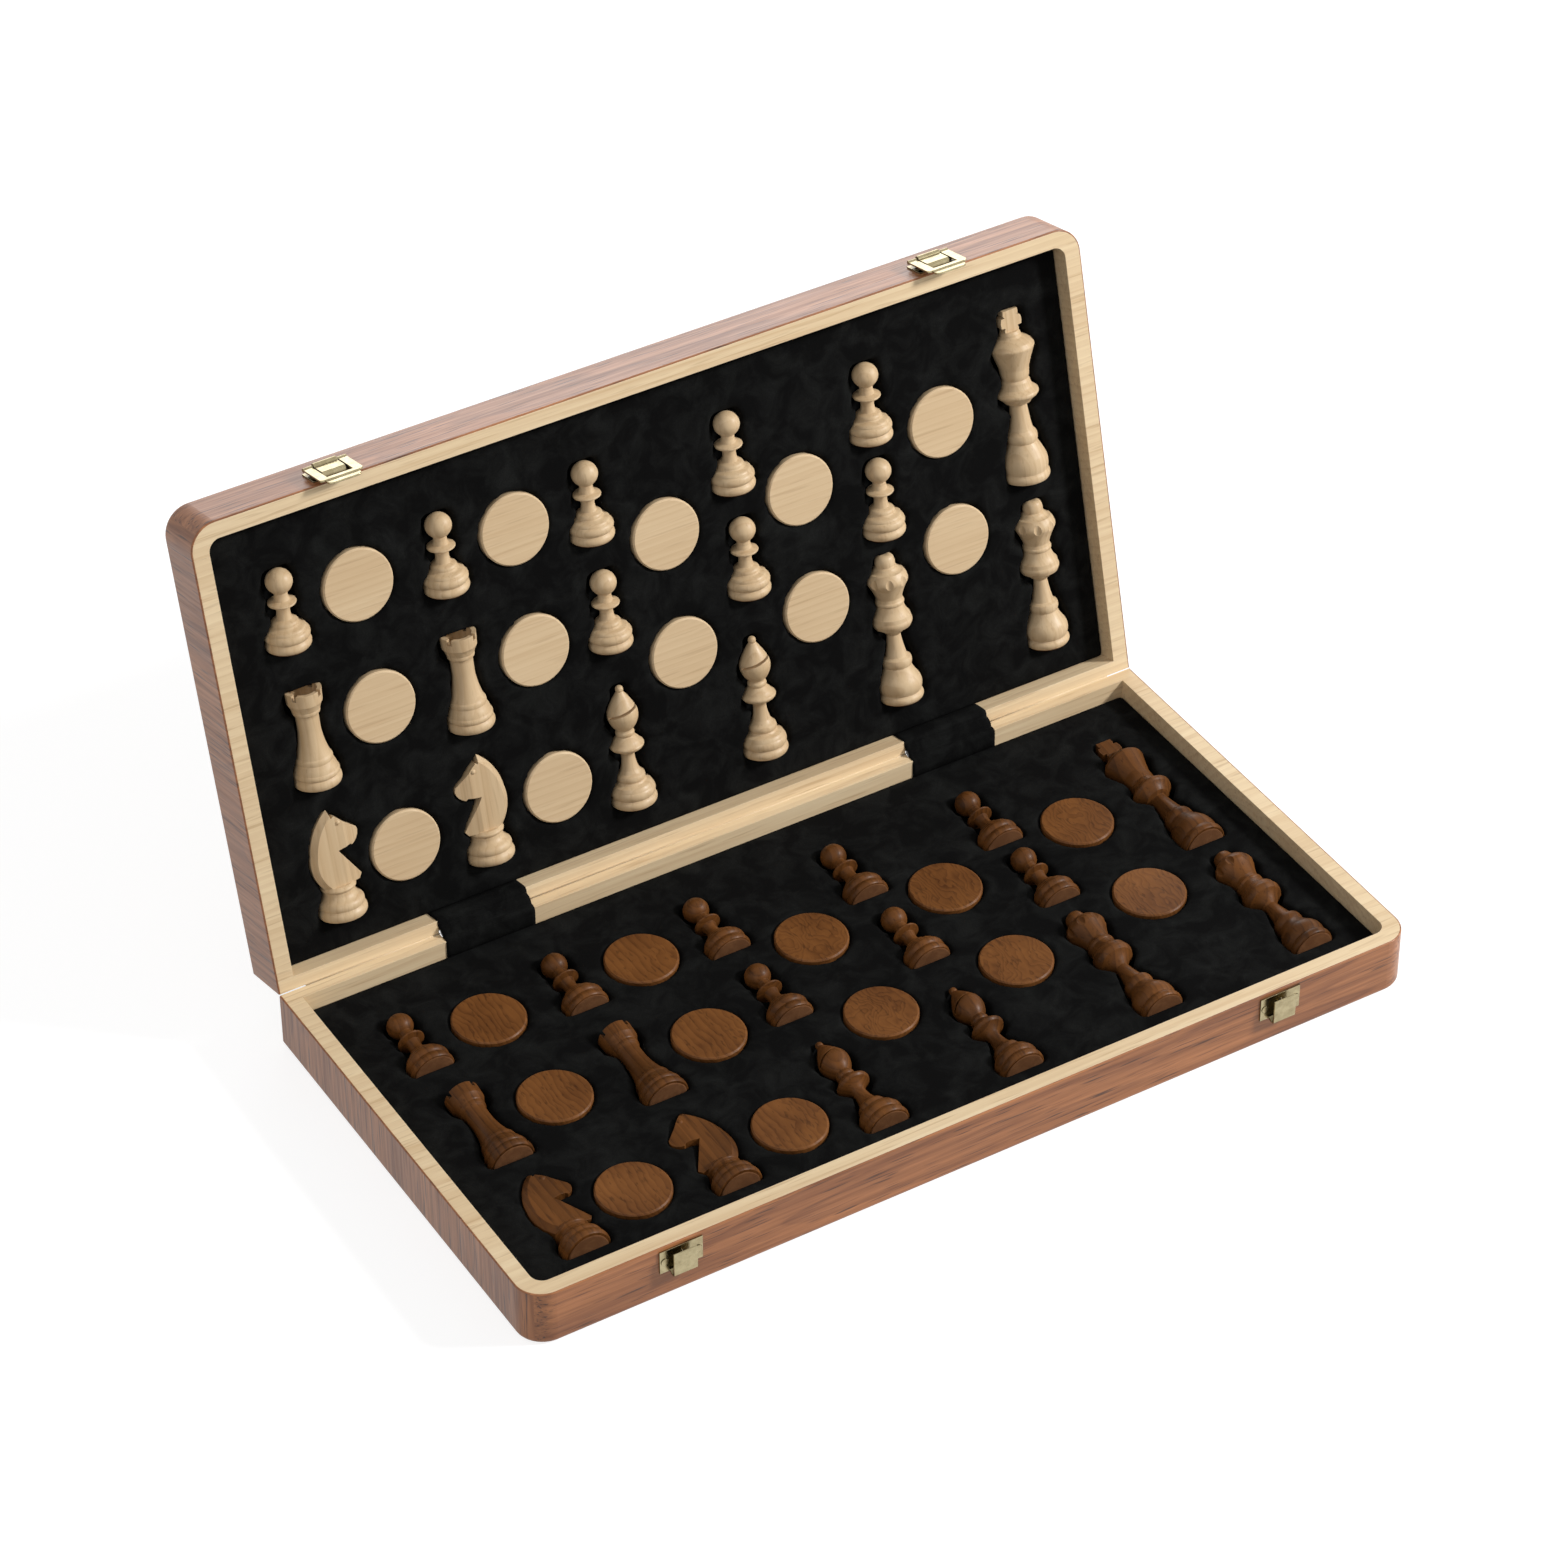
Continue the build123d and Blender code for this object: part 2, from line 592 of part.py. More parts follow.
def recess(kind, solid, facing):
    """The cut in the foam for one piece, a deep well for its base and a shelf for the rest"""
    rise = heights[kind] / 100
    girth = base_radius / 100
    side = [(radius * girth + recess_gap, height * rise) for height, radius in recesses[kind]]
    side[0] = (side[0][0], -recess_gap)
    side[-1] = (side[-1][0], side[-1][1] + recess_gap)
    flat = make_face(Polyline(*side, *[(-x, y) for x, y in reversed(side)], close=True))
    if kind == "knight":
        flat += offset(knight_outline(), recess_gap)
    if facing:
        flat = mirror(flat, about=Plane.YZ)
    laid = lying(kind) * solid
    reach = heights[kind] + base_radius
    split = well_ends[kind] * heights[kind]
    across = (-base_diameter, base_diameter)
    cuts = []
    for low, high in ((-base_radius, split), (split, reach)):
        zone = block(*across, low, high, 0, half_height)
        floor = (laid & zone).bounding_box().min.Z
        column = Pos(0, 0, floor) * extrude(flat, foam_top - floor)
        cuts.append(column & block(*across, low, high, 0, half_height))
    return cuts


def disc_recess():
    """The round hole in the foam for one draught"""
    radius = disc_diameter / 2 + recess_gap
    return Pos(0, 0, disc_floor) * Cylinder(radius, foam_top - disc_floor, align=on_foot)


# One tray's set: every solid and every cut, in the lower tray's own place


def tray_set(slides):
    """The contents of one tray by name, and the list of the cuts that hold them"""
    kinds = {kind: piece(kind) for kind in outlines}
    recess_cuts = {kind: recess(kind, solid, False) for kind, solid in kinds.items()}
    knight_cuts = recess("knight", kinds["knight"], True)
    cuts = []
    contents = {}
    magnets = []
    pads = []
    for name, shares in single_places.items():
        kind = name.split("_")[0]
        facing_back = name == "knight_2"
        place = at_place(shares, slides[kind])
        lay = place * lying(kind) * Rot(Z=180 if facing_back else 0)
        contents[name] = [lay * kinds[kind]]
        magnets.append(lay * magnet(felt, magnet_height))
        pads.append(lay * felt_pad())
        cuts += [place * cut for cut in (knight_cuts if facing_back else recess_cuts[kind])]
    contents["pawns"] = []
    for shares in pawn_places:
        place = at_place(shares, slides["pawn"])
        lay = place * lying("pawn")
        contents["pawns"].append(lay * kinds["pawn"])
        magnets.append(lay * magnet(felt, magnet_height))
        pads.append(lay * felt_pad())
        cuts += [place * cut for cut in recess_cuts["pawn"]]
    contents["draughts"] = []
    disc = draught()
    for shares in disc_places:
        place = at_place(shares, slides["draught"])
        lay = place * Pos(0, 0, disc_floor)
        contents["draughts"].append(lay * disc)
        magnets.append(lay * magnet(0, disc_magnet_height))
        cuts.append(place * disc_recess())
    contents["magnets"] = magnets
    contents["base_felts"] = pads
    return contents, cuts


def save(name, solids):
    """Write one named part, of one or more solids"""
    whole = []
    for solid in solids:
        whole += solid.solids()
    part = Compound(children=whole) if len(whole) > 1 else whole[0]
    export_step(part, os.path.join("parts", name + ".step"))
    print(name, len(whole))


os.makedirs("parts", exist_ok=True)
foam_block = cavity() & layer(foam_bottom, foam_top)

# The lower tray
contents, cuts = tray_set(no_slide)
for name, solid in frame_parts(catch_screw_height).items():
    save("tray_" + name, [solid])
for name, squares in zip(("dark_squares", "light_squares"), board_squares(0)):
    save("tray_" + name, squares)
save("tray_foam", [foam_block - cuts])
save("tray_hinge_flaps", [hinge_flap(x) for x in (-hinge_place, hinge_place)])
save("tray_hinge_leaves", [hinge_leaf_solid(x, (0, 2, 4), -1) for x in (-hinge_place, hinge_place)])
save("tray_hinge_screws", hinge_screws(-hinge_place, -1) + hinge_screws(hinge_place, -1))
save("hinge_pins", [hinge_pin_solid(x) for x in (-hinge_place, hinge_place)])
save("catch_left", [catch(-latch_place)])
save("catch_right", [catch(latch_place)])
save("catch_screws", latch_cuts(catch_screw_height))
for name, solids in contents.items():
    save("dark_" + name, solids)

# The lid, opened as it stands
contents, cuts = tray_set(lid_slide)
for name, solid in frame_parts(hasp_screw_height).items():
    save("lid_" + name, [lid_frame * solid])
for name, squares in zip(("dark_squares", "light_squares"), board_squares(1)):
    save("lid_" + name, [lid_frame * tile for tile in squares])
lid_foam = (across_hinge * Rot(Z=180) * foam_block) - [across_hinge * cut for cut in cuts]
save("lid_foam", [swing * lid_foam])
save("lid_hinge_flaps", [lid_frame * hinge_flap(x) for x in (-hinge_place, hinge_place)])
save("lid_hinge_leaves", [swing * hinge_leaf_solid(x, (1, 3), 1) for x in (-hinge_place, hinge_place)])
save("lid_hinge_screws", [swing * screw for x in (-hinge_place, hinge_place) for screw in hinge_screws(x, 1)])
save("hasp_plate_left", [lid_frame * hasp_plate(latch_place)])
save("hasp_plate_right", [lid_frame * hasp_plate(-latch_place)])
save("hasp_screws", [lid_frame * screw for screw in latch_cuts(hasp_screw_height)])
save("hasp_loop_left", [lid_frame * hasp_loop(latch_place)])
save("hasp_loop_right", [lid_frame * hasp_loop(-latch_place)])
for name, solids in contents.items():
    save("light_" + name, [lid_contents * solid for solid in solids])
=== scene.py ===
import math

import bmesh
import bpy
import numpy as np
from mathutils import Matrix, Vector


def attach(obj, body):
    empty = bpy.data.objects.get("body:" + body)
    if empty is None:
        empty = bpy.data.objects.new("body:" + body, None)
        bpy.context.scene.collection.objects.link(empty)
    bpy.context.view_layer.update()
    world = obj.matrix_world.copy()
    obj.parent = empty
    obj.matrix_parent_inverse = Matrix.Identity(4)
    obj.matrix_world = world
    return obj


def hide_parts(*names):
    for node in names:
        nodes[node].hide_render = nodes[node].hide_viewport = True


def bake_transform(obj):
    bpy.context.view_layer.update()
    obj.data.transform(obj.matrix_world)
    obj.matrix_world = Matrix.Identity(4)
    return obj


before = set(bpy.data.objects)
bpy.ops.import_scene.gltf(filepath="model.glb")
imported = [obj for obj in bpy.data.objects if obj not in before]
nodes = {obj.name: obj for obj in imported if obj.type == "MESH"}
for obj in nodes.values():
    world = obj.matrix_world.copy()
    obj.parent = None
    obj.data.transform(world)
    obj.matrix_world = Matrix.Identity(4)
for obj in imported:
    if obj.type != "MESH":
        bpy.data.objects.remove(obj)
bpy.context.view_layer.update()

MM = 0.001

# The box as it was built, in millimetres
HINGE_AXIS = (95.15, 24.15)
REST_OPENING = 104.55
HINGE_PLACES = (-103.5, 103.5)
HINGE_NOTCH = 38.0
FOAM_TOP = 16.2
INSIDE_BACK = 89.9
BARREL = 1.7
SQUARE = 40.0
STRAIGHT_HALF = 179.0

# What the scene adds to it, in millimetres
CLOTH = 0.4
STRIP_GAP = 0.02
STRIP_LIFT = 0.62
STRIP_FLAT = 23.97
ROUND_EDGE = 0.2
EDGE_OVERLAP = 0.25

# How finely the new pieces are divided
FOAM_GRID = 1.3
STRIP_COLUMNS = 25
STRIP_BENDS = 8
EDGE_SIDES = 16
FELT_SIDES = 40

# The box's directions, and the lid's own: up its inside, from the hinges to the latches, and out of its tray
LENGTH = (1, 0, 0)
DEPTH = (0, 1, 0)
HEIGHT = (0, 0, 1)
LID_TURN = math.radians(180 - REST_OPENING)
LID_UP = (0, math.cos(LID_TURN), math.sin(LID_TURN))
LID_OUT = (0, -math.sin(LID_TURN), math.cos(LID_TURN))

# The camera, fitted to the photograph: turn, rise and roll in degrees, aim in millimetres
CAMERA_ANGLES = (-31.011, 39.026, 0.266)
CAMERA_AIM = (25.616, 86.859, 2060.777)
FOCAL_PIXELS = 5480.446
PHOTO_PIXELS = 1563

# The studio: the floor's width and drop in metres, its shade, and the strengths of the light
FLOOR_WIDTH = 12.0
FLOOR_DROP = 0.0002
FLOOR_SHADE = 0.4
FLOOR_GLOW = 0.8
ROOM_LIGHT = 0.36
WHITE = (1, 1, 1, 1)

# Relief, eased edges and how far the painted shade in metal corners reaches, in metres
WOOD_RELIEF = 0.00003
NAP_RELIEF = 0.0002
METAL_RELIEF = 0.000006
WOOD_EDGE = 0.0003
METAL_EDGE = 0.00025
NOOK_SHADE_REACH = 0.003


# Small tools for building node trees


def put(tree, kind, values=None, **settings):
    """A node, with its sockets set to plain values or joined to other sockets"""
    made = tree.nodes.new(kind)
    for name, value in settings.items():
        setattr(made, name, value)
    for key, value in (values or {}).items():
        socket = made.inputs[key]
        if isinstance(value, bpy.types.NodeSocket):
            tree.links.new(value, socket)
        else:
            socket.default_value = value
    return made


def sum_of(tree, operation, *values, clamp=False):
    """One arithmetic step"""
    values = dict(enumerate(values))
    return put(tree, "ShaderNodeMath", values, operation=operation, use_clamp=clamp).outputs[0]


def vector_step(tree, operation, *values):
    """One step on vectors"""
    made = put(tree, "ShaderNodeVectorMath", dict(enumerate(values)), operation=operation)
    return made.outputs["Value" if operation == "DOT_PRODUCT" else "Vector"]


def spread(tree, value, low, high, to_low=0.0, to_high=1.0):
    """A value carried from one range to another and held inside it"""
    values = {"Value": value, "From Min": low, "From Max": high, "To Min": to_low, "To Max": to_high}
    return put(tree, "ShaderNodeMapRange", values).outputs[0]


def blended(tree, share, first, second):
    """Two colours mixed by a share"""
    return put(tree, "ShaderNodeMix", {0: share, 6: first, 7: second}, data_type="RGBA").outputs[2]


def clouds(tree, place, scale, detail=2.0, roughness=0.5, distortion=0.0):
    """Soft noise, from 0 to 1"""
    values = {"Vector": place, "Scale": scale, "Detail": detail, "Roughness": roughness,
              "Distortion": distortion}
    return put(tree, "ShaderNodeTexNoise", values).outputs["Fac"]


def new_effect(name, inputs, outputs):
    """An empty shared effect with named inputs and outputs"""
    tree = bpy.data.node_groups.new(name, "ShaderNodeTree")
    for label, kind, value in inputs:
        socket = tree.interface.new_socket(label, in_out="INPUT", socket_type="NodeSocket" + kind)
        if value is not None:
            socket.default_value = value
    for label, kind in outputs:
        tree.interface.new_socket(label, in_out="OUTPUT", socket_type="NodeSocket" + kind)
    return tree, tree.nodes.new("NodeGroupInput").outputs, tree.nodes.new("NodeGroupOutput").inputs


def colour(red, green, blue):
    """A colour as it is seen, from 0 to 255, as the light it stands for"""
    channels = [value / 255 for value in (red, green, blue)]
    return tuple(c / 12.92 if c <= 0.04045 else ((c + 0.055) / 1.055) ** 2.4 for c in channels) + (1.0,)


# Shared effects


def make_wood_effect():
    """Cut timber: growth rings, stretched fibres, dark pores and slow changes of tone along the grain"""
    tree, given, wanted = new_effect(
        "wood figure",
        [("Place", "Vector", None), ("Grain", "Vector", (1, 0, 0)), ("Across", "Vector", (0, 1, 0)),
         ("Light", "Color", None), ("Dark", "Color", None), ("Pore", "Color", None),
         ("Ring gap", "Float", 0.004), ("Ring share", "Float", 0.5), ("Wander", "Float", 0.004),
         ("Fibre share", "Float", 0.3), ("Pore share", "Float", 0.4), ("Pore scale", "Float", 900.0),
         ("Tone share", "Float", 0.3), ("Drawn out", "Float", 1.0), ("Curl scale", "Float", 26.0)],
        [("Color", "Color"), ("Rough", "Float"), ("Height", "Float")])
    third = vector_step(tree, "CROSS_PRODUCT", given["Grain"], given["Across"])
    along = vector_step(tree, "DOT_PRODUCT", given["Place"], given["Grain"])
    across = vector_step(tree, "DOT_PRODUCT", given["Place"], given["Across"])
    deep = vector_step(tree, "DOT_PRODUCT", given["Place"], third)

    def laid(stretch):
        """The place with its grain drawn out"""
        pulled = sum_of(tree, "DIVIDE", along, sum_of(tree, "MULTIPLY", given["Drawn out"], stretch))
        return put(tree, "ShaderNodeCombineXYZ", {0: pulled, 1: across, 2: deep}).outputs[0]

    # the rings wander about a heart that lies outside the piece
    heart_side, heart_down = 0.031, 0.047
    bend = sum_of(tree, "SUBTRACT", clouds(tree, laid(9.0), given["Curl scale"], 2.0), 0.5)
    bend = sum_of(tree, "MULTIPLY", bend, given["Wander"])
    side = sum_of(tree, "ADD", sum_of(tree, "ADD", across, heart_side), sum_of(tree, "MULTIPLY", bend, 2.0))
    down = sum_of(tree, "ADD", sum_of(tree, "ADD", deep, heart_down), sum_of(tree, "MULTIPLY", bend, 3.0))
    reach = sum_of(tree, "SQRT", sum_of(tree, "ADD", sum_of(tree, "MULTIPLY", side, side),
                                        sum_of(tree, "MULTIPLY", down, down)))
    # each ring darkens slowly and ends sharply
    saw = sum_of(tree, "FRACT", sum_of(tree, "DIVIDE", reach, given["Ring gap"]))
    ring = sum_of(tree, "MULTIPLY", sum_of(tree, "POWER", saw, 2.2), spread(tree, saw, 0.93, 1.0, 1.0, 0.0))
    fibre = spread(tree, clouds(tree, laid(28.0), 520.0, 4.0, 0.6), 0.3, 0.7)
    pore = spread(tree, clouds(tree, laid(22.0), given["Pore scale"], 1.0), 0.60, 0.72)
    tone = spread(tree, clouds(tree, laid(6.0), 45.0, 3.0), 0.3, 0.7)
    share = sum_of(tree, "ADD", sum_of(tree, "MULTIPLY", ring, given["Ring share"]),
                   sum_of(tree, "MULTIPLY", fibre, given["Fibre share"]))
    share = sum_of(tree, "ADD", share, sum_of(tree, "MULTIPLY", tone, given["Tone share"]), clamp=True)
    pores = sum_of(tree, "MULTIPLY", pore, given["Pore share"])
    shade = blended(tree, share, given["Light"], given["Dark"])
    tree.links.new(blended(tree, pores, shade, given["Pore"]), wanted["Color"])
    tree.links.new(fibre, wanted["Rough"])
    tree.links.new(sum_of(tree, "SUBTRACT", sum_of(tree, "MULTIPLY", fibre, 0.3), pores), wanted["Height"])
    return tree


def make_nap_effect():
    """Brushed flannel: dark cloth with lighter patches where the nap lies another way, and short fibres"""
    tree, given, wanted = new_effect(
        "brushed nap",
        [("Place", "Vector", None), ("Deep", "Color", None), ("Raised", "Color", None),
         ("Patch scale", "Float", 60.0), ("Fibre scale", "Float", 2600.0)],
        [("Color", "Color"), ("Height", "Float")])
    patch = spread(tree, clouds(tree, given["Place"], given["Patch scale"], 5.0, 0.62, 0.6), 0.42, 0.72)
    fibre = clouds(tree, given["Place"], given["Fibre scale"], 3.0, 0.7)
    speck = spread(tree, fibre, 0.35, 0.75)
    share = sum_of(tree, "MULTIPLY", patch, sum_of(tree, "ADD", sum_of(tree, "MULTIPLY", speck, 0.6), 0.4))
    tree.links.new(blended(tree, share, given["Deep"], given["Raised"]), wanted["Color"])
    tree.links.new(fibre, wanted["Height"])
    return tree


def make_scuff_effect():
    """Handled metal: fine brushed lines and cloudy smears"""
    tree, given, wanted = new_effect(
        "handled metal",
        [("Place", "Vector", None), ("Bright", "Color", None), ("Dull", "Color", None),
         ("Stretch", "Vector", (1, 1, 1))],
        [("Color", "Color"), ("Rough", "Float"), ("Height", "Float")])
    pulled = vector_step(tree, "MULTIPLY", given["Place"], given["Stretch"])
    line = clouds(tree, pulled, 3000.0, 3.0, 0.6)
    smear = clouds(tree, given["Place"], 300.0, 3.0, 0.6)
    shade = blended(tree, spread(tree, smear, 0.35, 0.75), given["Bright"], given["Dull"])
    tree.links.new(shade, wanted["Color"])
    rough = sum_of(tree, "ADD", sum_of(tree, "MULTIPLY", line, 0.5), sum_of(tree, "MULTIPLY", smear, 0.5))
    tree.links.new(rough, wanted["Rough"])
    tree.links.new(line, wanted["Height"])
    return tree


def make_edge_effect():
    """Edges eased with sandpaper: a rounded normal, and how much of an edge each place is"""
    tree, given, wanted = new_effect(
        "eased edges",
        [("Radius", "Float", 0.0003), ("Reach", "Float", 0.25)],
        [("Normal", "Vector"), ("Edge", "Float")])
    eased = put(tree, "ShaderNodeBevel", {"Radius": given["Radius"]}, samples=6)
    true_normal = tree.nodes.new("ShaderNodeNewGeometry").outputs["Normal"]
    alike = vector_step(tree, "DOT_PRODUCT", eased.outputs[0], true_normal)
    edge = sum_of(tree, "DIVIDE", sum_of(tree, "SUBTRACT", 1.0, alike), given["Reach"], clamp=True)
    tree.links.new(eased.outputs[0], wanted["Normal"])
    tree.links.new(edge, wanted["Edge"])
    return tree


def make_wall_effect():
    """Grain that runs along each wall: one direction on the long faces and another on the end faces"""
    tree, given, wanted = new_effect(
        "wall grain",
        [("Long", "Vector", (1, 0, 0)), ("Long across", "Vector", (0, 0, 1)), ("End", "Vector", (0, 1, 0)),
         ("End across", "Vector", (0, 0, 1))],
        [("Grain", "Vector"), ("Across", "Vector")])
    facing = tree.nodes.new("ShaderNodeNewGeometry").outputs["Normal"]
    facing = put(tree, "ShaderNodeSeparateXYZ", {0: facing}).outputs[0]
    end = spread(tree, sum_of(tree, "ABSOLUTE", facing), 0.69, 0.72)
    for name, first, second in (("Grain", "Long", "End"), ("Across", "Long across", "End across")):
        ways = {0: end, 4: given[first], 5: given[second]}
        mixed = put(tree, "ShaderNodeMix", ways, data_type="VECTOR")
        tree.links.new(mixed.outputs[1], wanted[name])
    return tree


WOOD = make_wood_effect()
EDGE = make_edge_effect()
WALL_GRAIN = make_wall_effect()
NAP = make_nap_effect()
SCUFF = make_scuff_effect()


def place_of(tree):
    """Where a point is on the object"""
    return tree.nodes.new("ShaderNodeTexCoord").outputs["Object"]


def effect(tree, kind, values):
    """A shared effect with this material's own values"""
    return put(tree, "ShaderNodeGroup", values, node_tree=kind).outputs


def surface(name, **values):
    """A new material: its tree and its main shader, with plain values set on the shader"""
    material = bpy.data.materials.new(name)
    material.use_nodes = True
    tree = material.node_tree
    shader = tree.nodes["Principled BSDF"]
    for key, value in values.items():
        shader.inputs[key.replace("_", " ")].default_value = value
    return material, tree, shader


def bumped(tree, shader, height, depth, strength=1.0, normal=None):
    """Relief from a height, in metres"""
    values = {"Height": height, "Distance": depth, "Strength": strength}
    if normal is not None:
        values["Normal"] = normal
    tree.links.new(put(tree, "ShaderNodeBump", values).outputs[0], shader.inputs["Normal"])


def wall_grain(tree, end, end_across, long_across):
    """The two directions of the grain of a wall or its veneer"""
    made = effect(tree, WALL_GRAIN, {"End": end, "End across": end_across, "Long across": long_across})
    return {"Grain": made["Grain"], "Across": made["Across"]}


def square_veneers(tree, place, across):
    """A place in the veneer for each square of the board, far from that of its neighbours"""
    hinge = Vector((0, HINGE_AXIS[0] * MM, HINGE_AXIS[1] * MM))
    along = vector_step(tree, "DOT_PRODUCT", place, LENGTH)
    side = vector_step(tree, "DOT_PRODUCT", place, across)
    side = sum_of(tree, "SUBTRACT", side, hinge.dot(Vector(across)))
    cell = [sum_of(tree, "FLOOR", sum_of(tree, "DIVIDE", value, SQUARE * MM)) for value in (along, side)]
    cell = put(tree, "ShaderNodeCombineXYZ", {0: cell[0], 1: cell[1]}).outputs[0]
    picked = put(tree, "ShaderNodeTexWhiteNoise", {"Vector": cell}, noise_dimensions="3D").outputs
    return vector_step(tree, "ADD", place, picked["Color"]), picked["Value"]


def timber(name, light, dark, pore, shine=0.35, coat=0.0, wear_and_highlight=None, walls=None, squares=None, **figure):
    """A wood with a lacquered surface, eased edges and, where asked, a paler tone along them: worn finish and
    a painted highlight
    """
    material, tree, shader = surface(name, Specular_IOR_Level=shine, Coat_Weight=coat, Coat_Roughness=0.25)
    place = place_of(tree)
    values = {key.replace("_", " "): value for key, value in figure.items()}
    if walls:
        values.update(wall_grain(tree, *walls))
    if squares:
        place, picked = square_veneers(tree, place, values["Across"])
        light = blended(tree, picked, light, squares)
    look = effect(tree, WOOD, {"Place": place, "Light": light, "Dark": dark, "Pore": pore, **values})
    edges = effect(tree, EDGE, {"Radius": WOOD_EDGE})
    shade = look["Color"]
    # the edges are painted paler: worn finish and a painted highlight
    if wear_and_highlight:
        share = sum_of(tree, "MULTIPLY", edges["Edge"], wear_and_highlight[0])
        shade = blended(tree, share, shade, wear_and_highlight[1])
    tree.links.new(shade, shader.inputs["Base Color"])
    tree.links.new(spread(tree, look["Rough"], 0.0, 1.0, 0.38, 0.5), shader.inputs["Roughness"])
    bumped(tree, shader, look["Height"], WOOD_RELIEF, normal=edges["Normal"])
    return material


def cloth(name, deep, raised, patch_scale, fibre_scale):
    """A brushed cloth"""
    material, tree, shader = surface(name, Roughness=1.0, Specular_IOR_Level=0.05)
    look = effect(tree, NAP, {"Place": place_of(tree), "Deep": deep, "Raised": raised,
                              "Patch scale": patch_scale, "Fibre scale": fibre_scale})
    tree.links.new(look["Color"], shader.inputs["Base Color"])
    bumped(tree, shader, look["Height"], NAP_RELIEF, strength=0.6)
    return material


def metal(name, bright, dull, gloss, stretch=(1, 1, 1), metallic=1.0, nook_shade=None):
    """A handled metal, with painted shade darkening its corners and recesses"""
    material, tree, shader = surface(name, Metallic=metallic)
    look = effect(tree, SCUFF, {"Place": place_of(tree), "Bright": bright, "Dull": dull, "Stretch": stretch})
    shade = look["Color"]
    # painted shade: the colour darkens where ambient occlusion finds corners and recesses
    if nook_shade:
        shaded_nooks = put(tree, "ShaderNodeAmbientOcclusion", {"Distance": NOOK_SHADE_REACH}, samples=8).outputs["AO"]
        shade = blended(tree, spread(tree, shaded_nooks, 0.3, 0.85, 1.0, 0.0), shade, nook_shade)
    tree.links.new(shade, shader.inputs["Base Color"])
    tree.links.new(spread(tree, look["Rough"], 0.2, 0.8, *gloss), shader.inputs["Roughness"])
    edges = effect(tree, EDGE, {"Radius": METAL_EDGE})
    bumped(tree, shader, look["Height"], METAL_RELIEF, normal=edges["Normal"])
    return material


MAPLE = dict(light=colour(243, 221, 183), dark=colour(212, 180, 138), pore=colour(176, 140, 98),
             Ring_gap=0.0035, Ring_share=0.3, Wander=0.006, Fibre_share=0.4, Pore_share=0.35, Tone_share=0.35)
BOXWOOD = dict(light=colour(220, 194, 156), dark=colour(190, 156, 114), pore=colour(150, 112, 76),
               Ring_gap=0.0028, Ring_share=0.3, Wander=0.006, Fibre_share=0.3, Pore_share=0.2, Tone_share=0.3)
WALNUT = dict(light=colour(195, 128, 79), dark=colour(124, 73, 41), pore=colour(66, 36, 20),
              Ring_gap=0.0045, Ring_share=0.35, Wander=0.014, Fibre_share=0.65, Pore_share=0.85,
              Pore_scale=1250.0, Tone_share=0.3)
DARK_WOOD = dict(light=colour(118, 73, 34), dark=colour(54, 30, 11), pore=colour(34, 18, 8),
                 Ring_gap=0.003, Ring_share=0.35, Wander=0.012, Fibre_share=0.25, Pore_share=0.4,
                 Drawn_out=0.35, Tone_share=0.55)
# Turned dark discs show curls rather than lines
DARK_DISC = {**DARK_WOOD, "light": colour(132, 84, 42), "dark": colour(72, 39, 16), "Drawn_out": 0.15,
             "Ring_gap": 0.0024, "Ring_share": 0.4, "Wander": 0.009, "Curl_scale": 85.0,
             "Fibre_share": 0.2, "Tone_share": 0.45}
LIGHT_DISC = {**BOXWOOD, "light": colour(224, 198, 160), "dark": colour(200, 168, 128)}
DARK_SQUARE = {**WALNUT, "light": colour(128, 82, 42), "dark": colour(82, 48, 22), "shine": 0.15}

TRAY_WALLS = (HEIGHT, DEPTH, HEIGHT)
LID_WALLS = (LID_OUT, LID_UP, LID_OUT)
# Paler edges on the maple: worn finish and a painted highlight
PALE_WEAR_AND_HIGHLIGHT = (0.35, colour(250, 232, 204))
HALVES = (("tray", DEPTH), ("lid", LID_UP))

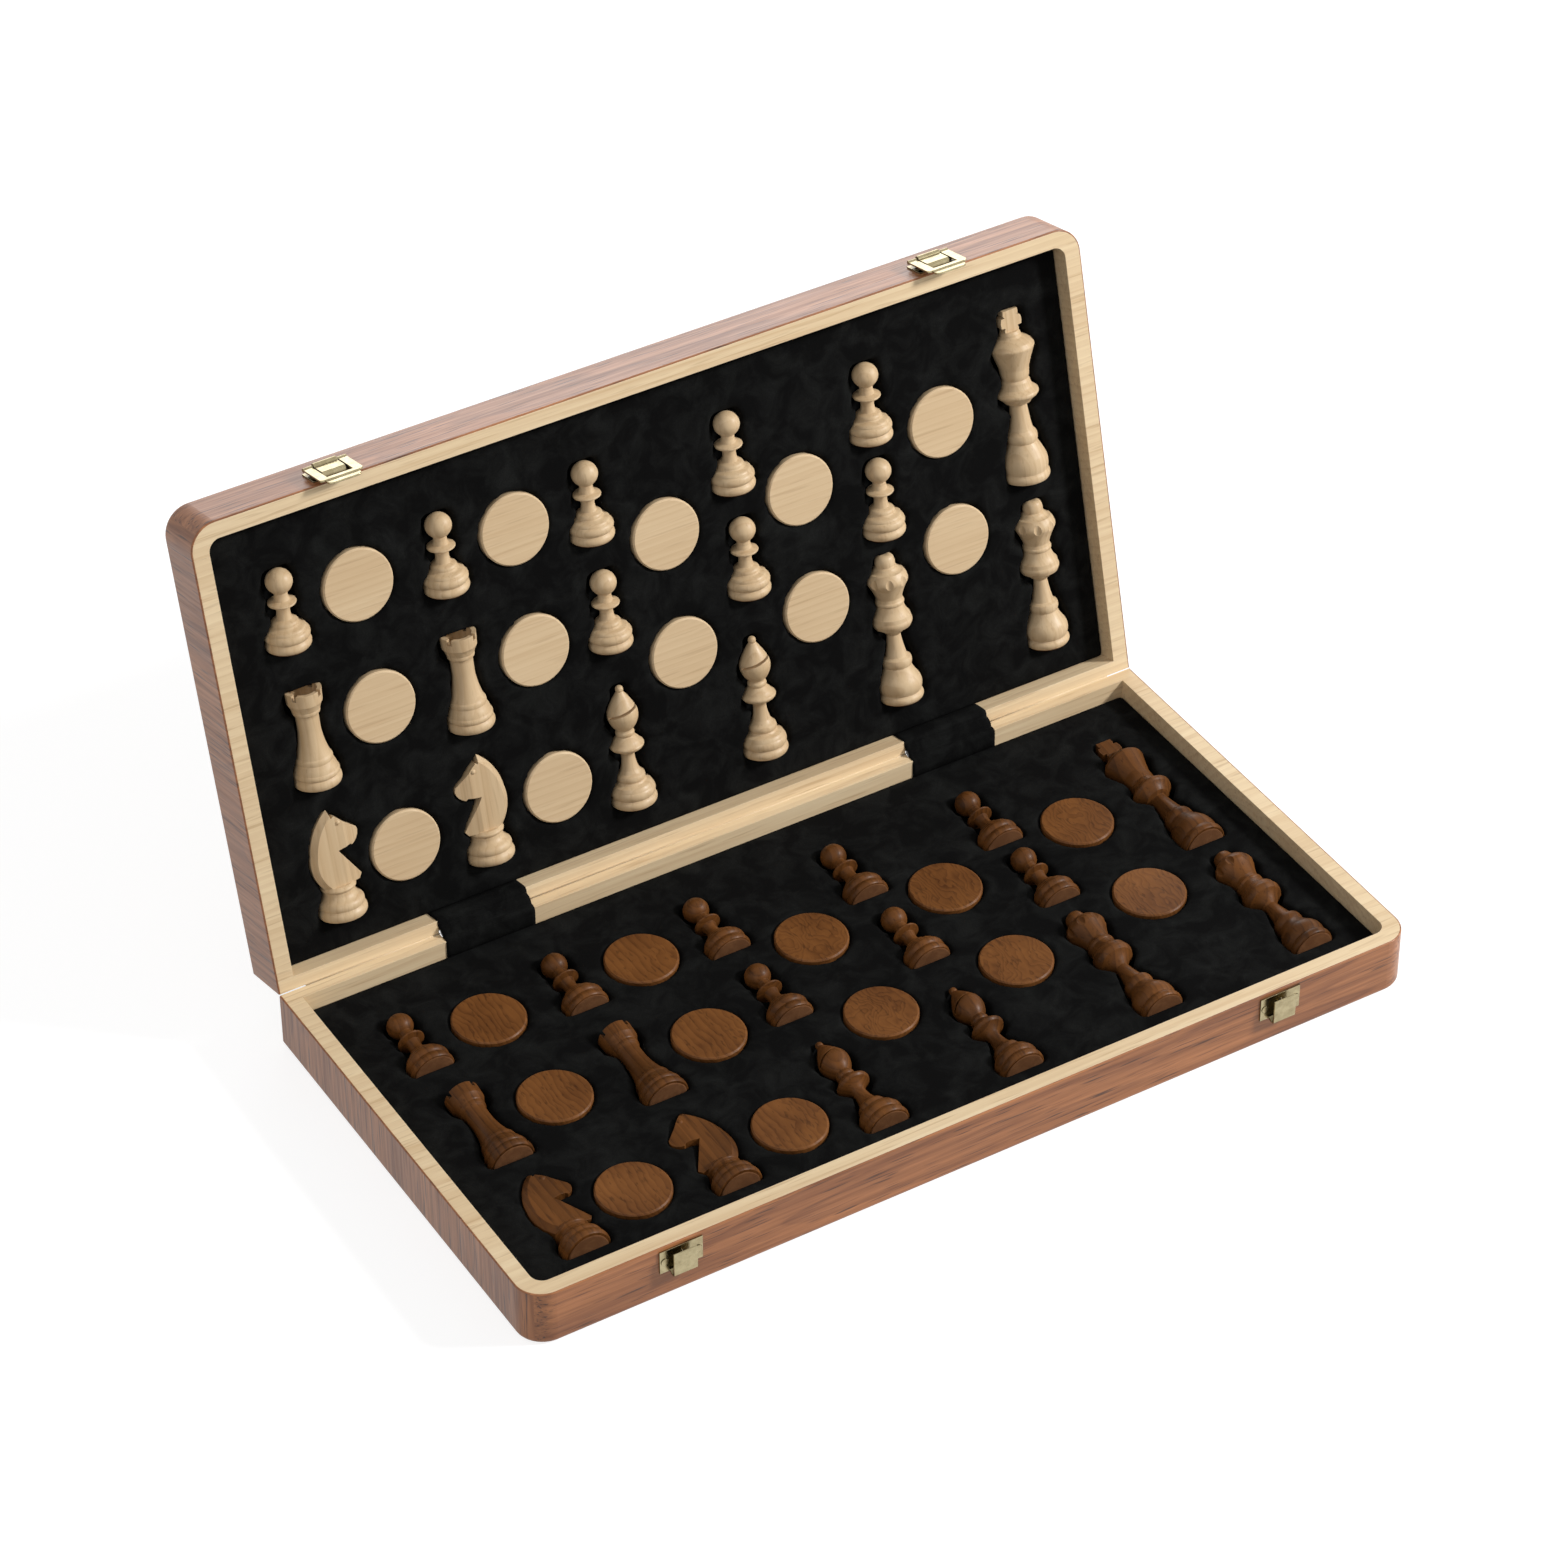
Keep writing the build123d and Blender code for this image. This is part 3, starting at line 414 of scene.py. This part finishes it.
finishes = {
    "tray_maple": timber("tray maple", **MAPLE, wear_and_highlight=PALE_WEAR_AND_HIGHLIGHT, Grain=LENGTH, Across=DEPTH),
    "lid_maple": timber("lid maple", **MAPLE, wear_and_highlight=PALE_WEAR_AND_HIGHLIGHT, Grain=LENGTH, Across=LID_UP),
    "tray_walnut": timber("tray walnut", **WALNUT, walls=TRAY_WALLS, coat=0.28),
    "lid_walnut": timber("lid walnut", **WALNUT, walls=LID_WALLS, coat=0.28),
    "board": timber("board", **MAPLE, Grain=LENGTH, Across=DEPTH),
    **{half + "_dark_square": timber(half + " dark square", **DARK_SQUARE, Grain=LENGTH, Across=across,
                                     squares=colour(108, 68, 34)) for half, across in HALVES},
    **{half + "_light_square": timber(half + " light square", **MAPLE, Grain=LENGTH, Across=across,
                                      squares=colour(228, 202, 162)) for half, across in HALVES},
    # The pieces and draughts are painted paler along their edges: worn finish and a painted highlight
    "dark_piece": timber("dark piece", **DARK_WOOD, wear_and_highlight=(0.35, colour(152, 102, 56)), shine=0.12, coat=0.03,
                         Grain=DEPTH, Across=LENGTH),
    "light_piece": timber("light piece", **BOXWOOD, wear_and_highlight=(0.3, colour(232, 208, 172)),
                          Grain=LID_UP, Across=LENGTH),
    "dark_draught": timber("dark draught", **DARK_DISC, wear_and_highlight=(0.9, colour(170, 119, 74)), shine=0.15,
                           Grain=DEPTH, Across=LENGTH),
    "light_draught": timber("light draught", **LIGHT_DISC, wear_and_highlight=(0.8, colour(242, 224, 192)), shine=0.25,
                            Grain=LENGTH, Across=LID_UP),
    "flannel": cloth("black flannel", colour(13, 13, 13), colour(35, 36, 35), 90.0, 2600.0),
    "felt": cloth("brown felt", colour(102, 68, 44), colour(130, 90, 60), 200.0, 3200.0),
    # the brass gets painted shade in its corners and recesses
    "brass": metal("brass", colour(178, 166, 131), colour(148, 135, 103), (0.14, 0.3), (1, 12, 12),
                   nook_shade=colour(52, 44, 28)),
    "black_steel": metal("black steel", colour(26, 26, 28), colour(18, 18, 20), (0.35, 0.5), metallic=0.0),
    "sheet": metal("steel sheet", colour(190, 190, 192), colour(160, 160, 164), (0.3, 0.5), (1, 20, 20)),
    "magnet": metal("magnet", colour(170, 170, 176), colour(140, 140, 146), (0.3, 0.5)),
}


def finish_for(name):
    """The finish of a node, from its name"""
    half = name.split("_")[0]
    endings = {"_veneer": half + "_walnut", "_panel": "board", "_steel_sheet": "sheet",
               "_dark_squares": half + "_dark_square", "_light_squares": half + "_light_square",
               "_foam": "flannel", "_hinge_flaps": "flannel", "_base_felts": "felt", "_magnets": "magnet",
               "_hinge_leaves": "black_steel", "_hinge_screws": "black_steel", "hinge_pins": "black_steel",
               "_rails": half + "_maple", "_rail": half + "_maple", "_draughts": half + "_draught"}
    for ending, finish in endings.items():
        if name.endswith(ending):
            return finish
    return "brass" if half in ("catch", "hasp") else half + "_piece"


for name, node in nodes.items():
    for slot in node.material_slots:
        slot.material = finishes[finish_for(name)]


# Small tools for new pieces


def placed(name, data):
    """A new object in the scene"""
    made = bpy.data.objects.new(name, data)
    bpy.context.scene.collection.objects.link(made)
    return made


def copy_of(source, name, finish):
    """A new piece with the shape of a solid"""
    mesh = nodes[source].data.copy()
    mesh.materials.clear()
    mesh.materials.append(finishes[finish])
    return placed(name, mesh)


def shaded_smooth(mesh):
    """The mesh without facets in its shading"""
    for polygon in mesh.polygons:
        polygon.use_smooth = True


def new_piece(name, points, faces, finish):
    """A new mesh piece with its finish"""
    mesh = bpy.data.meshes.new(name)
    mesh.from_pydata(points, [], faces)
    mesh.materials.append(finishes[finish])
    shaded_smooth(mesh)
    piece = placed(name, mesh)
    return piece


def settled(piece):
    """The piece with its modifiers worked into its mesh"""
    bpy.context.view_layer.update()
    shaped = piece.evaluated_get(bpy.context.evaluated_depsgraph_get())
    mesh = bpy.data.meshes.new_from_object(shaped)
    piece.modifiers.clear()
    piece.data = mesh
    shaded_smooth(mesh)


# The flannel-covered foam, softened from the solid that holds its place


def softened_foam(name, body):
    """The foam with its edges rounded by the cloth over them"""
    soft = copy_of(name, name.replace("foam", "flannel"), "flannel")
    remesh = soft.modifiers.new("even", "REMESH")
    remesh.mode = "VOXEL"
    remesh.voxel_size = FOAM_GRID * MM
    smooth = soft.modifiers.new("soft", "SMOOTH")
    smooth.factor = 0.5
    smooth.iterations = 4
    cover = soft.modifiers.new("cloth", "DISPLACE")
    cover.strength = CLOTH * MM
    cover.mid_level = 0.0
    settled(soft)
    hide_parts(name)
    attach(soft, body)


softened_foam("tray_foam", "tray")
softened_foam("lid_foam", "lid")


# The flannel over each hinge, glued up the walls and across both leaves


def strip_line():
    """The middle of the strip, from the tray's foam over the barrel to the lid's foam"""
    axis_y, axis_z = HINGE_AXIS
    reach = BARREL + STRIP_LIFT
    # up the tray's wall, round its edge and flat over the leaf
    low = [(INSIDE_BACK + 0.02, FOAM_TOP - 0.6), (INSIDE_BACK + 0.02, 19.0), (INSIDE_BACK + 0.04, 22.4),
           (INSIDE_BACK + 0.24, 23.45), (INSIDE_BACK + 0.9, 23.92), (axis_y - 3.6, STRIP_FLAT),
           (axis_y - reach - 0.3, STRIP_FLAT)]
    low = [(y - axis_y, z - axis_z) for y, z in low]
    # round the barrel
    start = math.radians(182.5)
    sweep = LID_TURN - math.radians(185.0)
    angles = [start + step / STRIP_BENDS * sweep for step in range(1, STRIP_BENDS)]
    over = [(reach * math.cos(angle), reach * math.sin(angle)) for angle in angles]
    # the lid's side is the tray's side mirrored across the line halfway between them
    twice = LID_TURN + math.pi
    high = [(y * math.cos(twice) + z * math.sin(twice), y * math.sin(twice) - z * math.cos(twice))
            for y, z in reversed(low)]
    return [(y + axis_y, z + axis_z) for y, z in low + over + high]


def hinge_strip(side, middle):
    """One strip of flannel, as thick as the cloth"""
    line = strip_line()
    rows = len(line)
    width = HINGE_NOTCH - 2 * STRIP_GAP
    columns = [middle + (index / (STRIP_COLUMNS - 1) - 0.5) * width for index in range(STRIP_COLUMNS)]
    points = [(x * MM, y * MM, z * MM) for x in columns for y, z in line]
    faces = [(a * rows + b, a * rows + b + 1, (a + 1) * rows + b + 1, (a + 1) * rows + b)
             for a in range(STRIP_COLUMNS - 1) for b in range(rows - 1)]
    strip = new_piece("hinge_flannel_" + side, points, faces, "flannel")
    layer = strip.modifiers.new("thickness", "SOLIDIFY")
    layer.thickness = CLOTH * MM
    layer.offset = -1.0
    settled(strip)
    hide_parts("tray_hinge_flaps", "lid_hinge_flaps")
    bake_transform(strip)


for side, middle in zip(("left", "right"), HINGE_PLACES):
    hinge_strip(side, middle)


# The tray's hinge rail, whose outer edge is rounded about the hinge axis so that the lid's rail rolls on it


def rounded_edge():
    """The rounded edge, in the stretches that the hinge notches leave"""
    axis_y, axis_z = HINGE_AXIS
    half_notch = HINGE_NOTCH / 2 - EDGE_OVERLAP
    stops = [-STRAIGHT_HALF]
    for middle in HINGE_PLACES:
        stops += [middle - half_notch, middle + half_notch]
    stops.append(STRAIGHT_HALF)
    angles = [2 * math.pi * index / EDGE_SIDES for index in range(EDGE_SIDES)]
    circle = [(axis_y + ROUND_EDGE * math.cos(angle), axis_z + ROUND_EDGE * math.sin(angle))
              for angle in angles]
    points, faces = [], []
    for start, end in zip(stops[::2], stops[1::2]):
        near = len(points)
        far = near + EDGE_SIDES
        points += [(x * MM, y * MM, z * MM) for x in (start, end) for y, z in circle]
        for index in range(EDGE_SIDES):
            after = (index + 1) % EDGE_SIDES
            faces.append((near + index, near + after, far + after, far + index))
        faces.append(tuple(range(far - 1, near - 1, -1)))
        faces.append(tuple(range(far, far + EDGE_SIDES)))
    return new_piece("rounded_edge", points, faces, "tray_maple")


def rounded_hinge_rail():
    """The rail and its rounded edge as one piece"""
    rail = copy_of("tray_hinge_rail", "tray_hinge_rail_rounded", "tray_maple")
    edge = rounded_edge()
    with bpy.context.temp_override(active_object=rail, selected_editable_objects=[rail, edge]):
        bpy.ops.object.join()
    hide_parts("tray_hinge_rail")
    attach(rail, "tray")


rounded_hinge_rail()


# The felts under the bases


def islands(mesh):
    """The separate solids of a mesh, as arrays of their points"""
    points = np.array([vertex.co for vertex in mesh.vertices])
    parent = list(range(len(points)))

    def root(index):
        while parent[index] != index:
            parent[index] = parent[parent[index]]
            index = parent[index]
        return index

    for edge in mesh.edges:
        first, second = (root(index) for index in edge.vertices)
        parent[first] = second
    groups = {}
    for index in range(len(points)):
        groups.setdefault(root(index), []).append(index)
    return [points[group] for group in groups.values()]


def joined_points(mesh):
    """The mesh with its doubled points joined"""
    work = bmesh.new()
    work.from_mesh(mesh)
    bmesh.ops.remove_doubles(work, verts=work.verts, dist=1e-6)
    clean = bpy.data.meshes.new("joined")
    work.to_mesh(clean)
    work.free()
    return clean


# A felt's outline, as shares of its radius and half its thickness
FELT_PROFILE = [(0.0, -1.0), (0.94, -1.0), (0.985, -0.7), (1.0, 0.0), (0.985, 0.7), (0.94, 1.0), (0.0, 1.0)]


def felt_discs(name, body):
    """Soft-edged felts where the solids hold their place"""
    points, faces = [], []
    for solid in islands(joined_points(nodes[name].data)):
        middle = solid.mean(axis=0)
        turn = np.linalg.svd(solid - middle)[2]
        across, up, axis = turn
        local = (solid - middle) @ turn.T
        radius = np.hypot(local[:, 0], local[:, 1]).max()
        half = np.abs(local[:, 2]).max()
        start = len(points)
        for share, height in FELT_PROFILE:
            for index in range(FELT_SIDES):
                angle = 2 * math.pi * index / FELT_SIDES
                ragged = 1 + 0.004 * math.sin(7 * angle + start) * share
                outward = math.cos(angle) * across + math.sin(angle) * up
                points.append(tuple(middle + share * ragged * radius * outward + height * half * axis))
        for ring in range(len(FELT_PROFILE) - 1):
            low = start + ring * FELT_SIDES
            high = low + FELT_SIDES
            for index in range(FELT_SIDES):
                after = (index + 1) % FELT_SIDES
                faces.append((low + index, low + after, high + after, high + index))
    felts = new_piece(name.replace("felts", "felt_discs"), points, faces, "felt")
    work = bmesh.new()
    work.from_mesh(felts.data)
    bmesh.ops.remove_doubles(work, verts=work.verts, dist=1e-7)
    bmesh.ops.recalc_face_normals(work, faces=work.faces)
    work.to_mesh(felts.data)
    work.free()
    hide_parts(name)
    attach(felts, body)


felt_discs("dark_base_felts", "tray")
felt_discs("light_base_felts", "lid")


# The camera, where the photograph was taken from


def photographers_camera():
    """Seen from the front left and above, with a long lens"""
    turn, rise, roll = (math.radians(value) for value in CAMERA_ANGLES)
    back = Vector((math.sin(turn) * math.cos(rise), -math.cos(turn) * math.cos(rise), math.sin(rise)))
    level = (-back).cross(Vector(HEIGHT)).normalized()
    plumb = (-back).cross(level)
    right = math.cos(roll) * level + math.sin(roll) * plumb
    down = math.cos(roll) * plumb - math.sin(roll) * level
    aim = Vector(CAMERA_AIM) * MM
    place = -(right * aim.x + down * aim.y - back * aim.z)
    data = bpy.data.cameras.new("camera")
    data.sensor_width = 36.0
    data.lens = FOCAL_PIXELS / PHOTO_PIXELS * data.sensor_width
    data.clip_start = 0.1
    data.clip_end = 20.0
    camera = placed("camera", data)
    axes = Matrix((right, -down, back)).transposed()
    camera.matrix_world = Matrix.Translation(place) @ axes.to_4x4()
    bpy.context.scene.camera = camera


photographers_camera()


# The studio


def lamp(name, place, aim, size, power):
    """A large soft lamp that points at a place"""
    data = bpy.data.lights.new(name, "AREA")
    data.shape = "DISK"
    data.size = size
    data.energy = power
    made = placed(name, data)
    made.location = place
    made.rotation_euler = (Vector(aim) - Vector(place)).to_track_quat("-Z", "Y").to_euler()


def backdrop_seen(tree):
    """Where the camera, a gloss or a glass looks at the backdrop"""
    sight = tree.nodes.new("ShaderNodeLightPath").outputs
    mirrored = sum_of(tree, "MAXIMUM", sight["Is Glossy Ray"], sight["Is Transmission Ray"])
    return sum_of(tree, "MAXIMUM", sight["Is Camera Ray"], mirrored)


def make_floor():
    """A wide pale floor that keeps a faint shadow"""
    bpy.ops.mesh.primitive_plane_add(size=FLOOR_WIDTH, location=(0, 0, -FLOOR_DROP))
    floor = bpy.context.object
    floor.name = "floor"
    material, tree, shader = surface("floor", Roughness=0.9, Specular_IOR_Level=0.0)
    shader.inputs["Base Color"].default_value = (FLOOR_SHADE, FLOOR_SHADE, FLOOR_SHADE, 1)
    shader.inputs["Emission Color"].default_value = WHITE
    glow = sum_of(tree, "MULTIPLY", backdrop_seen(tree), FLOOR_GLOW)
    tree.links.new(glow, shader.inputs["Emission Strength"])
    floor.data.materials.append(material)


def light_the_world():
    """Even white light from all round, and a white backdrop"""
    world = bpy.data.worlds.new("studio")
    bpy.context.scene.world = world
    world.use_nodes = True
    tree = world.node_tree
    tree.nodes.clear()
    soft = put(tree, "ShaderNodeBackground", {"Color": WHITE, "Strength": ROOM_LIGHT})
    white = put(tree, "ShaderNodeBackground", {"Color": WHITE, "Strength": 1.0})
    lights = {0: backdrop_seen(tree), 1: soft.outputs[0], 2: white.outputs[0]}
    mixed = put(tree, "ShaderNodeMixShader", lights)
    out = tree.nodes.new("ShaderNodeOutputWorld")
    tree.links.new(mixed.outputs[0], out.inputs["Surface"])


make_floor()
light_the_world()
lamp("key", (1.9, -1.1, 1.5), (0, 0.05, 0.05), 0.45, 62.0)
lamp("fill", (-1.4, -1.2, 1.6), (0, 0.05, 0.05), 1.4, 6.0)
lamp("back", (0.9, 1.9, 0.75), (0, 0.15, 0.2), 1.2, 9.0)
bpy.context.scene.view_settings.view_transform = "Standard"

bpy.context.view_layer.update()
